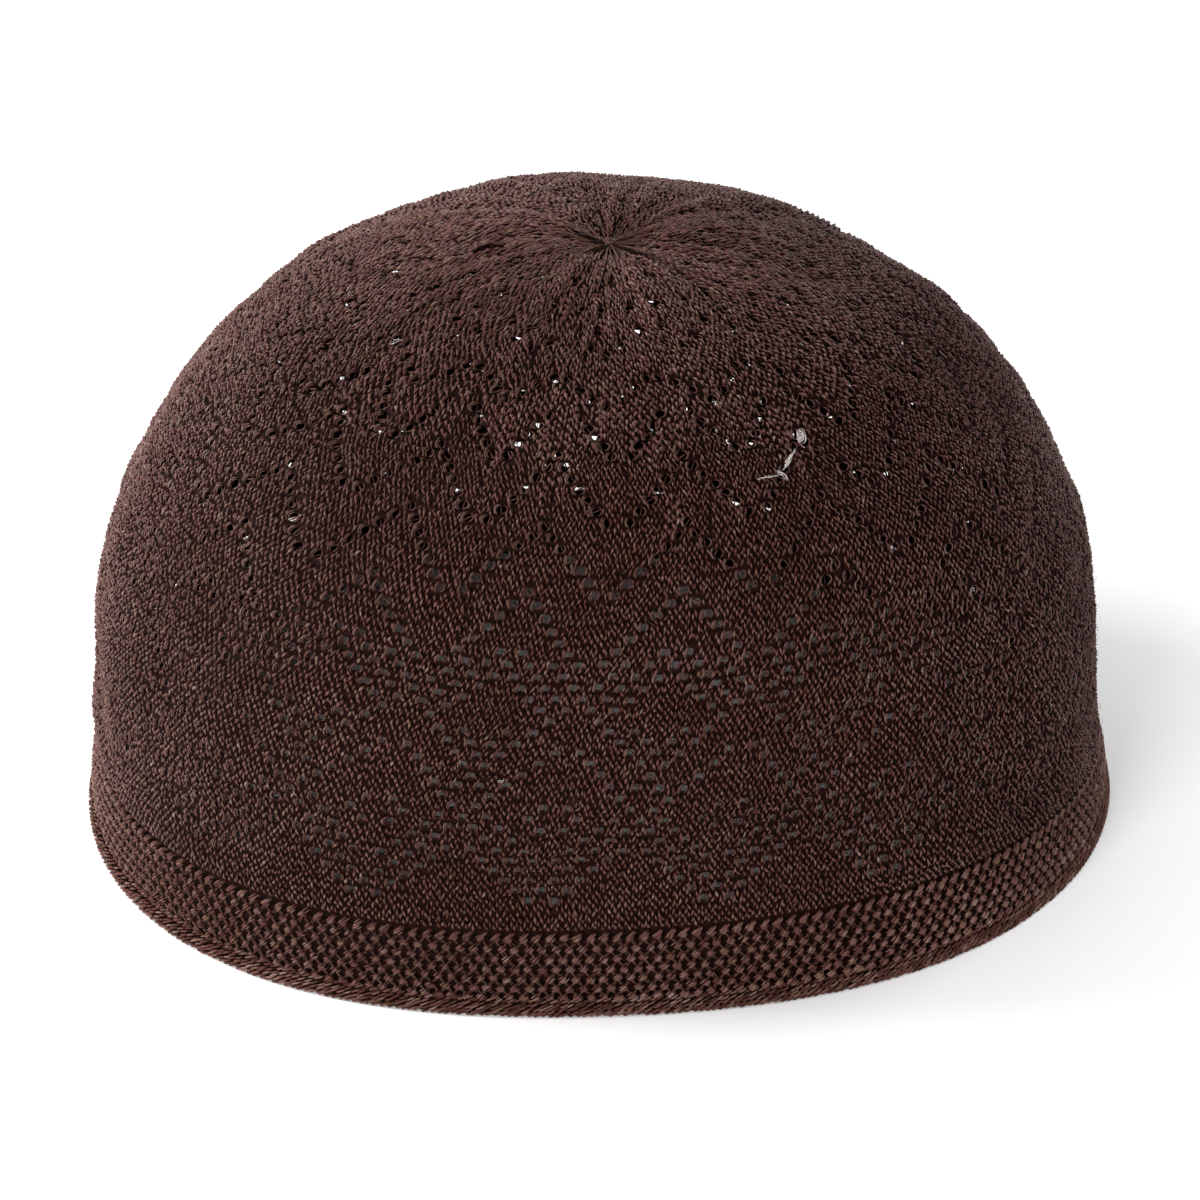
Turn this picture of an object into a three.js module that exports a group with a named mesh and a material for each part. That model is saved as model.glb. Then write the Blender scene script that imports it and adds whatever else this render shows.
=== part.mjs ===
// A kufi: a close-fitting knitted skull cap, standing on its rim as it would on a table.
// Millimetres, +Z up. The origin is the middle of the rim, on the surface that the cap rests on,
// and the cap's front faces -Y. Angles run round the cap from +X, anticlockwise seen from above.
//
// Three knitted pieces: the openwork crown, the coarser band linked to its lower edge, and the
// edge that rolls out under the band. The eyelets and stitches are finer than this model.

import * as THREE from "three";

// Driving sizes
const CAP_RADIUS = 88; // mean outside radius at the top of the band
const CAP_HEIGHT = 107.5; // from the surface to the top of the crown
const BAND_TOP = 14.5; // mean height of the linked seam between band and crown
const EDGE_HEIGHT = 2; // height of the rolled edge under the band
const RIM_FLARE = 1.5; // how much wider the cap is at the surface than at the seam
const SEAM_GAP = 0.4; // clearance between neighbouring pieces

const CROWN_WALL = 1.3; // single openwork knit
const BAND_WALL = 2.6; // two layers, folded
const EDGE_WIDTH = 2.4;

// The crown's profile is a superellipse: 2 gives an ellipse, more gives a fuller shoulder.
const SHOULDER_FULLNESS = 2.24;
const TOP_FLATNESS = 2.82;
const CROWN_LEAN = { x: 3.4, y: 3.5 }; // how far the crown's centre sits from the middle of the rim
const CROWN_SWAY = { x: -1.5, y: 1.8 }; // how far the cloth sways on its way up, most at half height
const PLAN_CENTRE = { x: 1.73, y: 1.54 }; // brings the middle of the lopsided plan over the origin

// The plan is a soft oval. Each row is one wave round the cap, as shares of the radius.
const PLAN_WAVES = [
  { waves: 2, cosine: 0.06, sine: -0.005 },
  { waves: 3, cosine: 0.02, sine: -0.0105 },
  { waves: 4, cosine: -0.01, sine: 0.004 },
];

// The seam rides up and down on its way round the front, as shares of its mean height.
const SEAM_WAVES = [
  { waves: 1, cosine: -0.15, sine: 0.017 },
  { waves: 2, cosine: -0.123, sine: -0.129 },
  { waves: 3, cosine: 0.026, sine: -0.066 },
];

// The last round of stitches is drawn up at the crown's centre, which leaves a dimple in the
// middle of a ring of shallow pleats.
const GATHER = { dip: 2.2, dipRadius: 7, pleats: 18, pleatHeight: 0.45, pleatRadius: 20, pleatSpread: 11 };

const COLUMNS = 72; // facets round the cap
const CROWN_ROWS = 19; // facets up the crown

// Cross-sections. "out" is outward from the plan's curve, "up" is a share of the piece's height.
const BAND_SECTION = [
  { place: "inner foot", out: -BAND_WALL + 0.5, up: 0 },
  { place: "outer foot", out: -0.7, up: 0 },
  { place: "foot roll", out: 0, up: 0.1 },
  { place: "lower face", out: 0.3, up: 0.3 },
  { place: "upper face", out: 0.3, up: 0.75 },
  { place: "shoulder", out: 0, up: 0.93 },
  { place: "outer top", out: -0.5, up: 1 },
  { place: "inner top", out: -BAND_WALL + 0.6, up: 1 },
  { place: "inner face", out: -BAND_WALL, up: 0.5 },
];

const EDGE_SECTION = [
  { place: "inner foot", out: -EDGE_WIDTH + 0.3, up: 0 },
  { place: "outer foot", out: -0.5, up: 0 },
  { place: "lip", out: 0, up: 0.45 },
  { place: "outer top", out: -0.5, up: 1 },
  { place: "inner top", out: -EDGE_WIDTH + 0.3, up: 1 },
  { place: "inside", out: -EDGE_WIDTH, up: 0.45 },
];

const YARN_BROWN = 0x3d2a27;
const BAND_BROWN = 0x3f2a26;
const EDGE_BROWN = 0x33211e;

const FULL_TURN = 2 * Math.PI;

function waveSum(rows, angle) {
  return rows.reduce(
    (sum, row) => sum + row.cosine * Math.cos(row.waves * angle) + row.sine * Math.sin(row.waves * angle),
    0,
  );
}

// The waves of the seam die away round the back.
function seamHeight(angle) {
  const fade = Math.sin(angle) < 0 ? 1 : Math.cos(angle) ** 2;
  return BAND_TOP * (1 + fade * waveSum(SEAM_WAVES, angle));
}

// A point of the cap's outer skin below the seam, moved outward by "out".
function rimPoint(angle, height, out) {
  const flare = RIM_FLARE * (1 - height / seamHeight(angle));
  const radius = CAP_RADIUS * (1 + waveSum(PLAN_WAVES, angle)) + flare + out;
  return leaned(radius * Math.cos(angle), radius * Math.sin(angle), height);
}

// Places a point of a level's plan, moved by how the cap leans and sways at that height.
function leaned(x, y, height) {
  const rise = height / CAP_HEIGHT;
  const sway = Math.sin(Math.PI * rise);
  return new THREE.Vector3(
    x + CROWN_LEAN.x * rise + CROWN_SWAY.x * sway - PLAN_CENTRE.x,
    y + CROWN_LEAN.y * rise + CROWN_SWAY.y * sway - PLAN_CENTRE.y,
    height,
  );
}

// A point of the crown's outer skin. "climb" runs from 0 at the seam to 1 at the crown's centre.
function crownPoint(angle, climb) {
  const swing = (climb * Math.PI) / 2;
  const inward = Math.pow(Math.max(Math.cos(swing), 0), 2 / SHOULDER_FULLNESS);
  const upward = Math.pow(Math.sin(swing), 2 / TOP_FLATNESS);
  const foot = seamHeight(angle) + SEAM_GAP / 2;
  const height = foot + (CAP_HEIGHT - foot) * upward;
  const oval = waveSum(PLAN_WAVES, angle) * (1 - Math.pow(height / CAP_HEIGHT, 3));
  const radius = CAP_RADIUS * inward * (1 + oval);
  const dimple = GATHER.dip * Math.exp(-Math.pow(radius / GATHER.dipRadius, 2));
  const fromPleats = (radius - GATHER.pleatRadius) / GATHER.pleatSpread;
  const pleat = GATHER.pleatHeight * Math.cos(GATHER.pleats * angle) * Math.exp(-fromPleats * fromPleats);
  const point = leaned(radius * Math.cos(angle), radius * Math.sin(angle), height);
  point.z += pleat - dimple;
  return point;
}

// The crown's inner skin lies one wall in from the outer one, square to it.
function crownInnerPoint(angle, climb) {
  const step = 1e-3;
  const here = crownPoint(angle, climb);
  const round = crownPoint(angle + step, climb).sub(crownPoint(angle - step, climb));
  const up = crownPoint(angle, Math.min(climb + step, 1)).sub(crownPoint(angle, Math.max(climb - step, 0)));
  const outward = round.cross(up).normalize();
  return here.addScaledVector(outward, -CROWN_WALL);
}

function ring(pointAt) {
  return Array.from({ length: COLUMNS }, (_, column) => pointAt((column / COLUMNS) * FULL_TURN));
}

// Triangles between two rings of points, facing out where "upper" follows "lower" outside.
function joinRings(triangles, lower, upper) {
  for (let column = 0; column < COLUMNS; column += 1) {
    const next = (column + 1) % COLUMNS;
    triangles.push([lower[column], lower[next], upper[next]], [lower[column], upper[next], upper[column]]);
  }
}

function closeRing(triangles, last, tip, facingUp) {
  for (let column = 0; column < COLUMNS; column += 1) {
    const next = (column + 1) % COLUMNS;
    triangles.push(facingUp ? [last[column], last[next], tip] : [last[next], last[column], tip]);
  }
}

function geometryOf(triangles) {
  const geometry = new THREE.BufferGeometry();
  geometry.setFromPoints(triangles.flat());
  geometry.computeVertexNormals();
  return geometry;
}

// A ring whose section is a closed table of points, listed round the section.
function knittedRing(section, footAt, topAt) {
  const rings = section.map((row) =>
    ring((angle) => {
      const height = footAt(angle) + (topAt(angle) - footAt(angle)) * row.up;
      return rimPoint(angle, height, row.out);
    }),
  );
  const triangles = [];
  rings.forEach((points, index) => joinRings(triangles, points, rings[(index + 1) % rings.length]));
  return geometryOf(triangles);
}

function crownGeometry() {
  const climbs = Array.from({ length: CROWN_ROWS }, (_, row) => row / CROWN_ROWS);
  const outer = climbs.map((climb) => ring((angle) => crownPoint(angle, climb)));
  const inner = climbs.map((climb) => ring((angle) => crownInnerPoint(angle, climb)));
  const outerTip = crownPoint(0, 1);
  const innerTip = outerTip.clone().setZ(outerTip.z - CROWN_WALL);
  const triangles = [];
  for (let row = 1; row < CROWN_ROWS; row += 1) {
    joinRings(triangles, outer[row - 1], outer[row]);
    joinRings(triangles, inner[row], inner[row - 1]);
  }
  joinRings(triangles, inner[0], outer[0]);
  closeRing(triangles, outer.at(-1), outerTip, true);
  closeRing(triangles, inner.at(-1), innerTip, false);
  return geometryOf(triangles);
}

function bandGeometry() {
  const foot = () => EDGE_HEIGHT + SEAM_GAP;
  const top = (angle) => seamHeight(angle) - SEAM_GAP / 2;
  return knittedRing(BAND_SECTION, foot, top);
}

function rolledEdgeGeometry() {
  return knittedRing(EDGE_SECTION, () => 0, () => EDGE_HEIGHT);
}

function piece(name, geometry, color) {
  const yarn = new THREE.MeshStandardMaterial({ color, roughness: 0.95, metalness: 0 });
  const mesh = new THREE.Mesh(geometry, yarn);
  mesh.name = name;
  return mesh;
}

const kufi = new THREE.Group();
kufi.add(piece("crown", crownGeometry(), YARN_BROWN));
kufi.add(piece("band", bandGeometry(), BAND_BROWN));
kufi.add(piece("rolled_edge", rolledEdgeGeometry(), EDGE_BROWN));

export default kufi;
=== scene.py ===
import bpy
import numpy as np
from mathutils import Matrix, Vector


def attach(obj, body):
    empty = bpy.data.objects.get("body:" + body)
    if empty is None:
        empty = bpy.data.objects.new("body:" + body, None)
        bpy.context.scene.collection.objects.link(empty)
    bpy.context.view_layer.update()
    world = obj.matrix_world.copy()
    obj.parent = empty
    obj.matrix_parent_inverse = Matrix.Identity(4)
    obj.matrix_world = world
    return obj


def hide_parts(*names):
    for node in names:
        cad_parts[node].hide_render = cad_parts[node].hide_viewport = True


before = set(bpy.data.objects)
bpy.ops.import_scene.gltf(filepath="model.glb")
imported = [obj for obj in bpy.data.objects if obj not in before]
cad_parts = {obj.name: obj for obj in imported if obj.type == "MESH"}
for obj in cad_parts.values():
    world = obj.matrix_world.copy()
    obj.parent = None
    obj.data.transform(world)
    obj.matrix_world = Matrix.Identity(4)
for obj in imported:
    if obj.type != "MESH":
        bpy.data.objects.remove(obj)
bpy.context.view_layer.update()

# A knitted kufi. The stitches are laid on the cap's own curves, wale by wale and course by course:
# a wale is a column of the knit, and a course is a row. Lengths are millimetres until a mesh is
# made. Angles run round the cap from +X, anticlockwise seen from above, and the front is at -Y.

MM = 0.001
FULL_TURN = 2 * np.pi
FRONT = -np.pi / 2

# ---------------------------------------- the cap's form
CAP_RADIUS = 88.0  # mean outside radius at the seam
CAP_HEIGHT = 107.5
BAND_TOP = 14.5  # height of the seam between the band and the crown, before its waves
EDGE_HEIGHT = 2.0  # the rolled edge, under the band
RIM_FLARE = 1.5  # how much further out the cloth is at the rim than at the seam
SEAM_GAP = 0.4  # clearance between neighbouring pieces
SHOULDER_FULLNESS = 2.24  # the profile is a superellipse: 2 gives an ellipse, and more is fuller
TOP_FLATNESS = 2.82
CROWN_LEAN = (3.4, 3.5)  # how far the crown's centre leans, to the right and to the back
CROWN_SWAY = (-1.5, 1.8)  # how far the cloth sways on its way up, most at half height
PLAN_CENTRE = (1.73, 1.54)  # brings the middle of the lopsided plan over the origin

# Waves round the cap: how many, then the cosine and sine parts, as shares of the radius for the
# plan and of the height for the seam.
PLAN_WAVES = ((2, 0.06, -0.005), (3, 0.02, -0.0105), (4, -0.01, 0.004))
SEAM_WAVES = ((1, -0.15, 0.017), (2, -0.123, -0.129), (3, 0.026, -0.066))

# The last round of stitches is drawn up, which leaves a dimple in a ring of uneven pleats.
DIMPLE_DEPTH = 2.2
DIMPLE_RADIUS = 7.0
PLEATS = ((9, 0.17), (14, 0.2), (18, 0.2), (25, 0.14))  # number round the crown, height
PLEAT_RADIUS = 20.0
PLEAT_SPREAD = 11.0

# ---------------------------------------- the knit
WALES = 238  # columns of the eyelet chart round the cap
COURSES = 72  # rows of the chart from the band to the crown's centre
REPEAT = 14  # columns in one repeat of the eyelet pattern
LEG_COLUMNS = 884  # columns of stitch legs at the band, two to a stitch
LEG_ROWS = 86  # rows of stitches from the band to the centre

# The wales don't run straight up: they have drifted round at the band, and straighten on the way.
SKEW_FOOT = -5.8  # degrees at the band
SKEW_TOP = 3.2  # degrees once they are straight
SKEW_COURSES = 42.5  # the course from which they are

# The cloth is never even: plain parts puff out, eyelets sink, and broad waves run over it.
PUFF = 1.5  # how far a part all of eyelets would lie under a plain one
FINE_WAVES = 0.22
BROAD_WAVES = 0.35
CALM_CENTRE = 10  # courses round the centre over which the relief dies away
PULL_ACROSS = 0.2  # how far the knit is pulled out of line, in wales
PULL_UP = 0.14  # and in courses
LOOSER_FROM = 44  # from this course on, the wales wander more
LOOSER_OVER = 24
LOOSER = 4  # and by the top this many times further again
HEART = (0.0, 0.0, 20.0)  # the cloth puffs away from this point inside the cap

WEB_OUTER = -0.62  # the back loops of the knit lie this far under the stitches' faces
WEB_INNER = -1.0

# An eyelet is wider from the first zigzag upwards, where the cloth is stretched open.
EYELET_FOOT = 0.78  # half an eyelet's width near the band
EYELET_TOP = 0.98  # and in the zigzags
OPENS_FROM = 23  # the courses over which it widens
OPENS_OVER = 8
LEAST_REACH = 0.27  # limits of the same half width, in wales
MOST_REACH = 1.45
TALL_FOOT = 0.47  # half the height that the stitches leave free round an eyelet, in courses
TALL_MORE = 0.1  # and what the zigzags add to it
TALL_FROM = 24
WEB_CORNERS = 0.71  # a hole's lower corners in the back loops lie this less TALL up the course
WEB_SHARE = 0.8  # the hole's width there as a share of the eyelet's

# Slanting rows of eyelets, one wale over for each course. "meets" is the course at which the
# row's line crosses the axis of its V, and the row runs between two wales counted from that axis.
# Each row has its mirror image across the axis.
EYELET_ROWS = (
    {"meets": 1, "first": -6, "last": -1},
    {"meets": 3, "first": -5, "last": 0},
    {"meets": 10, "first": 1, "last": 3},
    {"meets": 12, "first": 1, "last": 4},
    {"meets": 17, "first": -7, "last": -2},
    {"meets": 17, "first": 1, "last": 13},
    {"meets": 19, "first": -6, "last": -1},
    {"meets": 19, "first": 9, "last": 13},
    {"meets": 21, "first": -3, "last": 9},
    {"meets": 23, "first": 5, "last": 8},
)
ZIGZAG_FOOT = 23
ZIGZAG_SPACING = 6
ZIGZAGS = 4
ZIGZAG_FIRST = -7
LAST_ZIGZAG_FIRST = -5

# Higher up the columns crowd together and the zigzags break up into a few eyelets to a course.
UPPER_EYELETS = (
    {"course": 47, "wales": (-2,)},
    {"course": 48, "wales": (-4, 0)},
    {"course": 49, "wales": (-6, 2)},
    {"course": 50, "wales": (-8, 4)},
    {"course": 53, "wales": (-2,)},
    {"course": 54, "wales": (-5, 1)},
    {"course": 56, "wales": (-9, -4)},
    {"course": 59, "wales": (-3, 4)},
    {"course": 63, "wales": (-1, 6)},
)

# ---------------------------------------- the threads
# Half widths and half depths of the strands that stand for the yarn.
LEG_LEAST, LEG_MOST = 0.17, 0.27  # a stitch's leg, by the room it has
LEG_DEPTH = 0.26
LEG_LEAN = 15.0  # degrees that each leg of a stitch leans from its middle line
LEG_ROOM = 0.4  # the least distance between columns: past that, every second one has sunk
SINKS_AT = 0.45  # the distance at which it starts to sink, and over how much it does
SINKS_OVER = 0.12
ROWS_TO_A_MESH = 22
PLY_SHIFT = 7  # strand lengths by which the plies of two strands may differ
LOOP_WIDTHS = (0.17, 0.14, 0.17)  # the eyelet's left loop, the loop outside it, and the right loop
LOOP_DEPTH = 0.14
BAR_LEAST, BAR_MOST = 0.08, 0.27
BAR_DEPTH = 0.1
GATHER_THREADS = 48  # threads that run in to the crown's centre, and the courses they start at
GATHER_STARTS = (65.5, 70.0)
GATHER_LEAST, GATHER_MOST = 0.12, 0.22
GATHER_DEPTH = 0.22
KNOT_THREADS = 8  # turns of yarn in the knot at the centre
KNOT_WIDTH = 0.24
KNOT_REACH = 1.25  # half a turn's length

BAND_STITCHES = 221  # bundles round the band, 2.5 mm apart on average
BAND_ROWS = 7
BUNDLE_SLANT = 43.0  # degrees
CROSSING_SLANTS = (-50.0, 48.0)  # down to the right, and up to it
BUNDLE_WIDTH, BUNDLE_DEPTH = 0.16, 0.2
CROSSING_WIDTH, CROSSING_DEPTH = 0.14, 0.18
LINK_WIDTH, LINK_DEPTH = 0.14, 0.2
CHAIN_WIDTH, CHAIN_DEPTH = 0.19, 0.26
CHAIN_LOWEST = 0.22  # keeps the chain edge's lowest threads off the surface

FUZZ_HAIRS = 1800
FUZZ_WIDTH = 0.022
LINT_WIDTH = 0.03

rng = np.random.default_rng(17)


# ---------------------------------------- curves
def unit(vectors):
    """The vectors at length one."""
    return vectors / np.maximum(np.linalg.norm(vectors, axis=-1, keepdims=True), 1e-12)


def wave_sum(rows, angle):
    """The height of some waves round the cap."""
    return sum(cosine * np.cos(n * angle) + sine * np.sin(n * angle) for n, cosine, sine in rows)


def seam_height(angle):
    """The seam rides up and down round the front, and levels out towards the back."""
    fade = np.where(np.sin(angle) < 0, 1.0, np.cos(angle) ** 2)
    return BAND_TOP * (1 + fade * wave_sum(SEAM_WAVES, angle))


def leaned(x, y, height):
    """A point of the cap with its lean and sway."""
    rise = height / CAP_HEIGHT
    sway = np.sin(np.pi * rise)
    x = x + CROWN_LEAN[0] * rise + CROWN_SWAY[0] * sway - PLAN_CENTRE[0]
    y = y + CROWN_LEAN[1] * rise + CROWN_SWAY[1] * sway - PLAN_CENTRE[1]
    return np.stack([x, y, height], axis=-1)


def rim_point(angle, height, out):
    """A point below the seam, "out" millimetres outside the plan's curve."""
    flare = RIM_FLARE * (1 - height / seam_height(angle))
    radius = CAP_RADIUS * (1 + wave_sum(PLAN_WAVES, angle)) + flare + out
    return leaned(radius * np.cos(angle), radius * np.sin(angle), height + 0 * angle)


def crown_point(angle, climb, gathered=True):
    """A point of the crown, with climb from 0 at the seam to 1 at the centre."""
    swing = climb * np.pi / 2
    inward = np.maximum(np.cos(swing), 0) ** (2 / SHOULDER_FULLNESS)
    upward = np.sin(swing) ** (2 / TOP_FLATNESS)
    foot = seam_height(angle) + SEAM_GAP / 2
    height = foot + (CAP_HEIGHT - foot) * upward
    oval = wave_sum(PLAN_WAVES, angle) * (1 - (height / CAP_HEIGHT) ** 3)
    radius = CAP_RADIUS * inward * (1 + oval)
    point = leaned(radius * np.cos(angle), radius * np.sin(angle), height)
    if gathered:
        point[..., 2] -= DIMPLE_DEPTH * np.exp(-((radius / DIMPLE_RADIUS) ** 2))
        spread = (radius - PLEAT_RADIUS) / PLEAT_SPREAD
        pleats = sum(height * np.cos(number * angle + 2 * number) for number, height in PLEATS)
        point[..., 2] += pleats * np.exp(-spread * spread)
    return point


def climb_table(columns=180, rows=288):
    """For each angle, the climb at evenly spaced lengths up the cloth."""
    angles = np.linspace(0, FULL_TURN, columns + 1)[:, None]
    climbs = np.linspace(0, 1, 900)
    points = crown_point(angles, climbs[None, :], gathered=False)
    steps = np.linalg.norm(np.diff(points, axis=1), axis=2)
    lengths = np.concatenate([np.zeros((columns + 1, 1)), np.cumsum(steps, axis=1)], axis=1)
    shares = lengths / lengths[:, -1:]
    return np.array([np.interp(np.linspace(0, 1, rows + 1), share, climbs) for share in shares])


CLIMBS = climb_table()


def between(table, left, right, low, across, up):
    """A table's value between two of its columns and two of its rows."""
    lower = table[left, low] * (1 - across) + table[right, low] * across
    upper = table[left, low + 1] * (1 - across) + table[right, low + 1] * across
    return lower * (1 - up) + upper * up


def climb_at(angle, course):
    """The climb at a course, from the table."""
    columns, rows = CLIMBS.shape[0] - 1, CLIMBS.shape[1] - 1
    across = np.mod(angle, FULL_TURN) / FULL_TURN * columns
    up = np.clip(course / COURSES, 0, 1) * rows
    left = np.minimum(across.astype(int), columns - 1)
    low = np.minimum(up.astype(int), rows - 1)
    return between(CLIMBS, left, left + 1, low, across - left, up - low)


def smooth_step(value):
    """From 0 to 1, eased in and out."""
    value = np.clip(value, 0, 1)
    return value * value * (3 - 2 * value)


def knit_angle(wale, course):
    """The angle round the cap of a wale at a course."""
    skew = SKEW_FOOT + (SKEW_TOP - SKEW_FOOT) * smooth_step(course / SKEW_COURSES)
    return FRONT + np.radians(skew + wale * 360 / WALES)


def eyelet_chart():
    """True where the chart drops a stitch, by wale and course. No two sit one above the other."""
    chart = np.zeros((WALES, COURSES), bool)
    rows = list(EYELET_ROWS)
    for turn in range(ZIGZAGS):
        first = LAST_ZIGZAG_FIRST if turn == ZIGZAGS - 1 else ZIGZAG_FIRST
        rows.append({"meets": ZIGZAG_FOOT + ZIGZAG_SPACING * turn, "first": first, "last": -1})
    for start in range(0, WALES, REPEAT):
        for row in rows:
            for wale in range(row["first"], row["last"] + 1):
                course = row["meets"] - wale
                chart[(start + wale) % WALES, course] = True
                chart[(start - wale) % WALES, course] = True
        for row in UPPER_EYELETS:
            for wale in row["wales"]:
                chart[(start + wale) % WALES, row["course"]] = True
    for course in range(1, COURSES):
        chart[:, course] &= ~chart[:, course - 1]
    return chart


EYELETS = eyelet_chart()


def blurred(field, across, up):
    """The field with each value shared among its neighbours, round the cap and up it."""
    for _ in range(2):
        field = sum(np.roll(field, step, axis=0) for step in range(-across, across + 1)) / (2 * across + 1)
        padded = np.pad(field, ((0, 0), (up, up)), mode="edge")
        columns = [padded[:, step : step + field.shape[1]] for step in range(2 * up + 1)]
        field = sum(columns) / (2 * up + 1)
    return field


def cloth_relief():
    """Millimetres that the cloth stands out: plain parts puff, eyelets sink, and it is never even."""
    puff = -PUFF * (blurred(EYELETS.astype(float), 1, 1) - 0.2)
    fine = blurred(rng.normal(0, 1, EYELETS.shape), 3, 3)
    broad = blurred(rng.normal(0, 1, EYELETS.shape), 8, 7)
    relief = puff + FINE_WAVES * fine / fine.std() + BROAD_WAVES * broad / broad.std()
    room = smooth_step((COURSES - np.arange(COURSES)) / CALM_CENTRE)
    return np.pad(relief * room, ((0, 0), (0, 1)))


def stretch(size):
    """How far the knit is pulled out of line, by wale and course."""
    field = blurred(rng.normal(0, 1, EYELETS.shape), 2, 2)
    return size * np.pad(field / field.std(), ((0, 0), (0, 1)), mode="edge")


RELIEF = cloth_relief()
PULLED_ACROSS = stretch(PULL_ACROSS)
PULLED_UP = stretch(PULL_UP)


def value_at(field, wale, course):
    """A field's value between its wales and courses, dying away at the seam."""
    left = np.floor(wale).astype(int)
    low = np.clip(np.floor(course), 0, COURSES - 1).astype(int)
    across, up = smooth_step(wale - left), smooth_step(course - low)
    value = between(field, left % WALES, (left + 1) % WALES, low, across, up)
    return value * smooth_step(course / 3)


def knit_point(wale, course):
    """The face of the crown's knit at a wale and course, pulled about and in relief."""
    wale, course = np.broadcast_arrays(np.asarray(wale, float), np.asarray(course, float))
    looser = 1 + LOOSER * smooth_step((course - LOOSER_FROM) / LOOSER_OVER)
    pulled = wale + value_at(PULLED_ACROSS, wale, course) * looser
    raised = course + value_at(PULLED_UP, wale, course) * smooth_step((COURSES - course) / 4)
    angle = knit_angle(pulled, raised)
    point = crown_point(angle, climb_at(angle, raised))
    outward = point - np.array(HEART)
    return point + unit(outward) * value_at(RELIEF, wale, course)[..., None]


def frame_of(point, u, v, du=0.2, dv=0.02):
    """Place, directions and spacings of a surface: across, up and outward, per step of u and v."""
    here = point(u, v)
    across = (point(u + du, v) - point(u - du, v)) / (2 * du)
    up = (point(u, v + dv) - point(u, v - dv)) / (2 * dv)
    width = np.linalg.norm(across, axis=-1)
    height = np.linalg.norm(up, axis=-1)
    out = unit(np.cross(across, up))
    return here, unit(across), unit(up), out, width, height


def every(*values):
    """Each combination of the values, in flat arrays."""
    return [grid.ravel() for grid in np.meshgrid(*values, indexing="ij")]


def aslant(across, up, slant):
    """The direction at a slant from across towards up."""
    return across * np.cos(slant)[:, None] + up * np.sin(slant)[:, None]


def threads(here, *parts):
    """A thread through each place. A part is a direction and how far along it each point lies."""
    points = here[:, None]
    for direction, distance in parts:
        points = points + direction[:, None] * distance[..., None]
    return points


def eyelet_reach():
    """Half an eyelet's width, counted in wales, for each course."""
    course = np.arange(COURSES) + 0.5
    step = 3.0
    ahead, behind = crown_ring(course, step), crown_ring(course, -step)
    width = np.linalg.norm(ahead - behind, axis=-1) / (2 * step)
    opened = smooth_step((course - OPENS_FROM) / OPENS_OVER)
    half = EYELET_FOOT + (EYELET_TOP - EYELET_FOOT) * opened
    return np.clip(half / width, LEAST_REACH, MOST_REACH)


def crown_ring(course, wale):
    """A point of the smooth crown, before any pull or relief."""
    angle = knit_angle(wale, course)
    return crown_point(angle, climb_at(angle, course), gathered=False)


REACH = eyelet_reach()
TALL = TALL_FOOT + TALL_MORE * smooth_step((np.arange(COURSES) - TALL_FROM) / OPENS_OVER)
DRAWN_OPEN = rng.uniform(0.68, 1.08, EYELETS.shape)  # each eyelet's share of the full width


def in_eyelet(u, v):
    """True where a stitch would cover an eyelet."""
    nearest, lowest = np.round(u).astype(int), np.floor(v).astype(int)
    inside = np.zeros(u.shape, bool)
    for aside in (-1, 0, 1):
        for above in (-1, 0, 1):
            wale, course = nearest + aside, np.clip(lowest + above, 0, COURSES - 1)
            near = (np.abs(u - wale) < REACH[course]) & (np.abs(v - course - 0.5) < TALL[course])
            inside |= EYELETS[wale % WALES, course] & near
    return inside


# ---------------------------------------- meshes
def mesh_object(name, vertices, triangles, corner_uv=None, shade=None):
    """A smooth mesh from points in millimetres, with a UV for each corner and a shade for each point."""
    mesh = bpy.data.meshes.new(name)
    mesh.vertices.add(len(vertices))
    mesh.vertices.foreach_set("co", (np.asarray(vertices, np.float32) * MM).ravel())
    mesh.loops.add(len(triangles) * 3)
    mesh.loops.foreach_set("vertex_index", np.asarray(triangles, np.int32).ravel())
    mesh.polygons.add(len(triangles))
    mesh.polygons.foreach_set("loop_start", np.arange(0, len(triangles) * 3, 3, dtype=np.int32))
    mesh.polygons.foreach_set("use_smooth", np.ones(len(triangles), bool))
    mesh.update(calc_edges=True)
    if corner_uv is not None:
        layer = mesh.uv_layers.new(name="yarn")
        layer.data.foreach_set("uv", np.asarray(corner_uv, np.float32).ravel())
    if shade is not None:
        attribute = mesh.attributes.new("yarn_shade", "FLOAT", "POINT")
        attribute.data.foreach_set("value", np.asarray(shade, np.float32))
    made = bpy.data.objects.new(name, mesh)
    bpy.context.scene.collection.objects.link(made)
    return made


def strand_template(rings, sides):
    """Triangles and corner UVs of one closed spindle: a tip, some rings and a tip."""

    def vertex(ring, side):
        if ring < 0:
            return 0
        return 1 + rings * sides if ring == rings else 1 + ring * sides + side % sides

    faces = []  # corners as (ring, side), with a tip half way between two sides
    for s in range(sides):
        faces.append(((-1, s + 0.5), (0, s + 1), (0, s)))
        for r in range(rings - 1):
            faces.append(((r, s), (r, s + 1), (r + 1, s + 1)))
            faces.append(((r, s), (r + 1, s + 1), (r + 1, s)))
        faces.append(((rings, s + 0.5), (rings - 1, s), (rings - 1, s + 1)))
    triangles = [[vertex(*corner) for corner in face] for face in faces]
    corners = [[((r + 1) / (rings + 1), s / sides) for r, s in face] for face in faces]
    return np.array(triangles), np.array(corners)


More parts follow.
